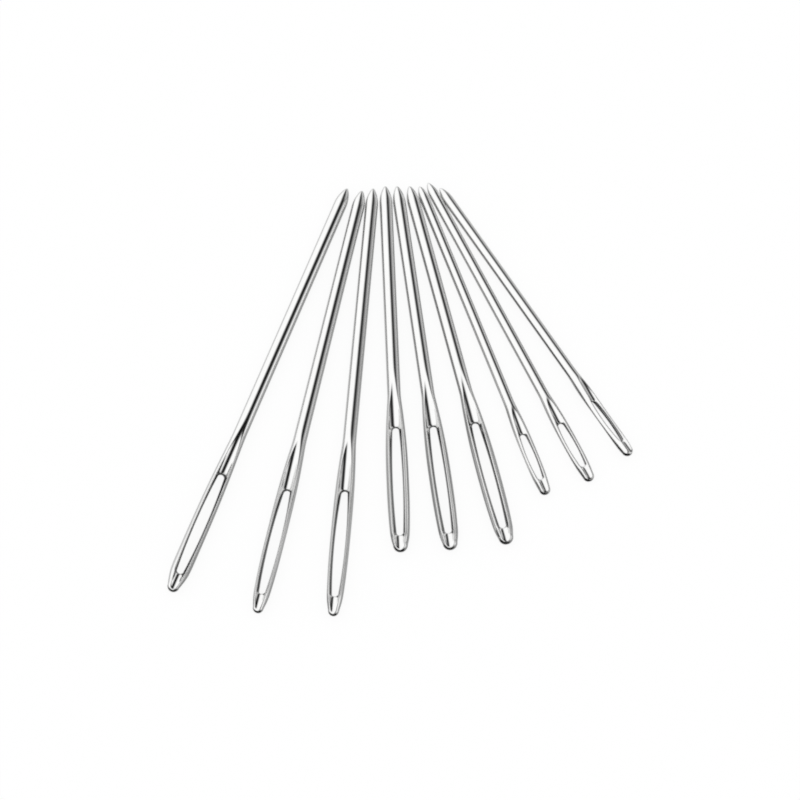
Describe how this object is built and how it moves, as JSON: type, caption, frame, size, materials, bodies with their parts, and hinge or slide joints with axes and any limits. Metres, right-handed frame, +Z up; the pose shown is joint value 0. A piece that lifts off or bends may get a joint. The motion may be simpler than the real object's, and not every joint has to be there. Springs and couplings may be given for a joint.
{
  "type": "yarn needle set",
  "caption": "Large-eye blunt steel yarn needles in long, middle and short sizes, lying loose in a fan with their points together.",
  "frame": {"origin": "middle of the fan's footprint, on the table that the needles lie on", "axes": "+X to the viewer's right, +Y from the butts towards the points, +Z up from the table"},
  "size_m": [0.0658, 0.0705, 0.0022],
  "materials": {
    "nickel_large": "polished nickel plate",
    "nickel_medium": "polished nickel plate",
    "nickel_small": "polished nickel plate"
  },
  "bodies": {
    "needle_large_1": {"needle_large_1": "nickel_large"},
    "needle_large_2": {"needle_large_2": "nickel_large"},
    "needle_large_3": {"needle_large_3": "nickel_large"},
    "needle_medium_1": {"needle_medium_1": "nickel_medium"},
    "needle_medium_2": {"needle_medium_2": "nickel_medium"},
    "needle_medium_3": {"needle_medium_3": "nickel_medium"},
    "needle_small_1": {"needle_small_1": "nickel_small"},
    "needle_small_2": {"needle_small_2": "nickel_small"},
    "needle_small_3": {"needle_small_3": "nickel_small"}
  },
  "joints": [
    {"name": "needle_large_1_lift", "type": "slide", "parent": "needle_medium_2", "child": "needle_large_1", "axis": [0, 0, 1], "range_m": [0, 0.03]},
    {"name": "needle_large_2_lift", "type": "slide", "parent": "needle_medium_2", "child": "needle_large_2", "axis": [0, 0, 1], "range_m": [0, 0.03]},
    {"name": "needle_large_3_lift", "type": "slide", "parent": "needle_medium_2", "child": "needle_large_3", "axis": [0, 0, 1], "range_m": [0, 0.03]},
    {"name": "needle_medium_1_lift", "type": "slide", "parent": "needle_medium_2", "child": "needle_medium_1", "axis": [0, 0, 1], "range_m": [0, 0.03]},
    {"name": "needle_medium_3_lift", "type": "slide", "parent": "needle_medium_2", "child": "needle_medium_3", "axis": [0, 0, 1], "range_m": [0, 0.03]},
    {"name": "needle_small_1_lift", "type": "slide", "parent": "needle_medium_2", "child": "needle_small_1", "axis": [0, 0, 1], "range_m": [0, 0.03]},
    {"name": "needle_small_2_lift", "type": "slide", "parent": "needle_medium_2", "child": "needle_small_2", "axis": [0, 0, 1], "range_m": [0, 0.03]},
    {"name": "needle_small_3_lift", "type": "slide", "parent": "needle_medium_2", "child": "needle_small_3", "axis": [0, 0, 1], "range_m": [0, 0.03]}
  ]
}
